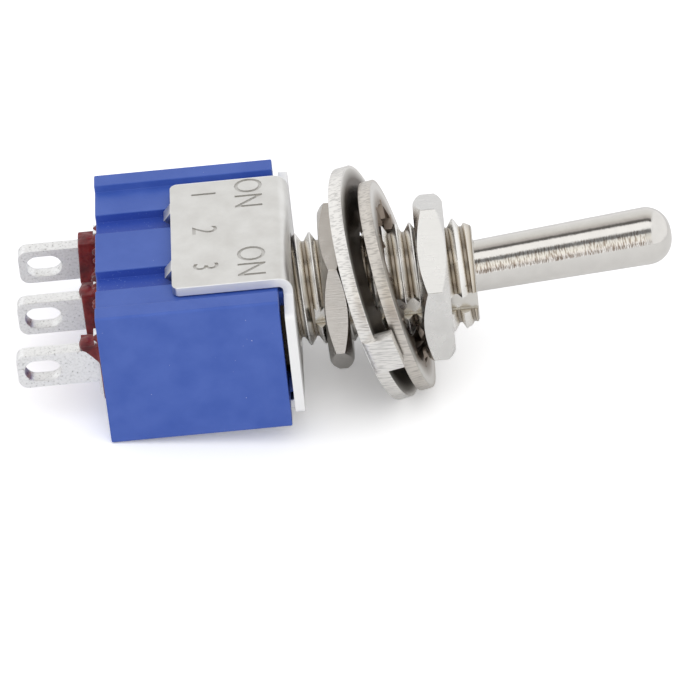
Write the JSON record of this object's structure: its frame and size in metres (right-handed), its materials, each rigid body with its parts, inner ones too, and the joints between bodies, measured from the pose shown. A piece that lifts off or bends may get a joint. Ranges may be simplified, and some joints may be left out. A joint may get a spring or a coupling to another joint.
{
  "type": "mini toggle switch",
  "caption": "Panel-mount mini toggle switch: blue moulded case, threaded bushing with nuts and washers, round-tipped lever and solder lugs.",
  "frame": {"origin": "on the bushing's axis, at the top face of the cover bracket's plate", "axes": "+Z along the bushing towards the lever, X the way the lever throws, -Y the lettered broad face"},
  "size_m": [0.0134, 0.0122, 0.0344],
  "materials": {
    "blue_moulding": "fine satin moulding",
    "tin_plated_sheet": "satin plated sheet",
    "nickel_bushing": "bright nickel plate",
    "nickel_lever": "bright nickel plate, turned",
    "nickel_nut": "nickel plate over milled flats",
    "nickel_washer": "nickel plate, stamped",
    "silvered_terminal": "dull silver plate",
    "contact_silver": "silver rivet",
    "contact_sheet": "silver-plated strip",
    "red_resin": "poured gloss resin",
    "nylon_plunger": "natural nylon",
    "spring_wire": "drawn wire",
    "steel_pin": "drawn rod"
  },
  "bodies": {
    "switch_body": {"case": "blue_moulding", "bracket": "tin_plated_sheet", "bushing": "nickel_bushing", "pivot_pin": "steel_pin", "left_terminal": "silvered_terminal", "center_terminal": "silvered_terminal", "right_terminal": "silvered_terminal", "left_fixed_contact": "contact_silver", "right_fixed_contact": "contact_silver", "sealing_resin": "red_resin"},
    "toggle": {"lever": "nickel_lever", "plunger_spring": "spring_wire"},
    "plunger_body": {"plunger": "nylon_plunger"},
    "rocker": {"rocker_contact": "contact_sheet", "left_moving_contact": "contact_silver", "right_moving_contact": "contact_silver"},
    "rear_washer": {"locating_washer": "nickel_washer"},
    "rear_nut_body": {"rear_nut": "nickel_nut"},
    "front_washer": {"lock_washer": "nickel_washer"},
    "front_nut_body": {"front_nut": "nickel_nut"}
  },
  "joints": [
    {"name": "lever_toggle", "type": "hinge", "parent": "switch_body", "child": "toggle", "pos_m": [0, 0, 0.005], "axis": [0, 1, 0], "range_deg": [0, 16]},
    {"name": "plunger_slide", "type": "slide", "parent": "toggle", "child": "plunger_body", "axis": [-0.1392, 0, 0.9903], "range_m": [0, 0.0003], "stiffness_N_per_m": 300, "springref_m": -0.001, "deforming": ["plunger_spring"]},
    {"name": "rocker_tilt", "type": "hinge", "parent": "switch_body", "child": "rocker", "pos_m": [0, 0, -0.00608], "axis": [0, 1, 0], "range_deg": [-12, 0]},
    {"name": "rear_washer_travel", "type": "slide", "parent": "switch_body", "child": "rear_washer", "axis": [0, 0, 1], "range_m": [-0.00137, 0]},
    {"name": "rear_nut_turn", "type": "hinge", "parent": "rear_washer", "child": "rear_nut_body", "pos_m": [0, 0, 0.002], "axis": [0, 0, 1], "range_deg": [-660.01, 0]},
    {"name": "front_washer_travel", "type": "slide", "parent": "switch_body", "child": "front_washer", "axis": [0, 0, 1], "range_m": [0, 0.00225]},
    {"name": "front_nut_turn", "type": "hinge", "parent": "front_washer", "child": "front_nut_body", "pos_m": [0, 0, 0.0072], "axis": [0, 0, 1], "range_deg": [0, 1080.01]}
  ],
  "couplings": [
    {"joint": "rocker_tilt", "follows": "lever_toggle", "ratio": -0.75},
    {"joint": "rear_nut_turn", "follows": "rear_washer_travel", "rad_per_m": 8377.6},
    {"joint": "front_nut_turn", "follows": "front_washer_travel", "rad_per_m": 8377.6}
  ]
}
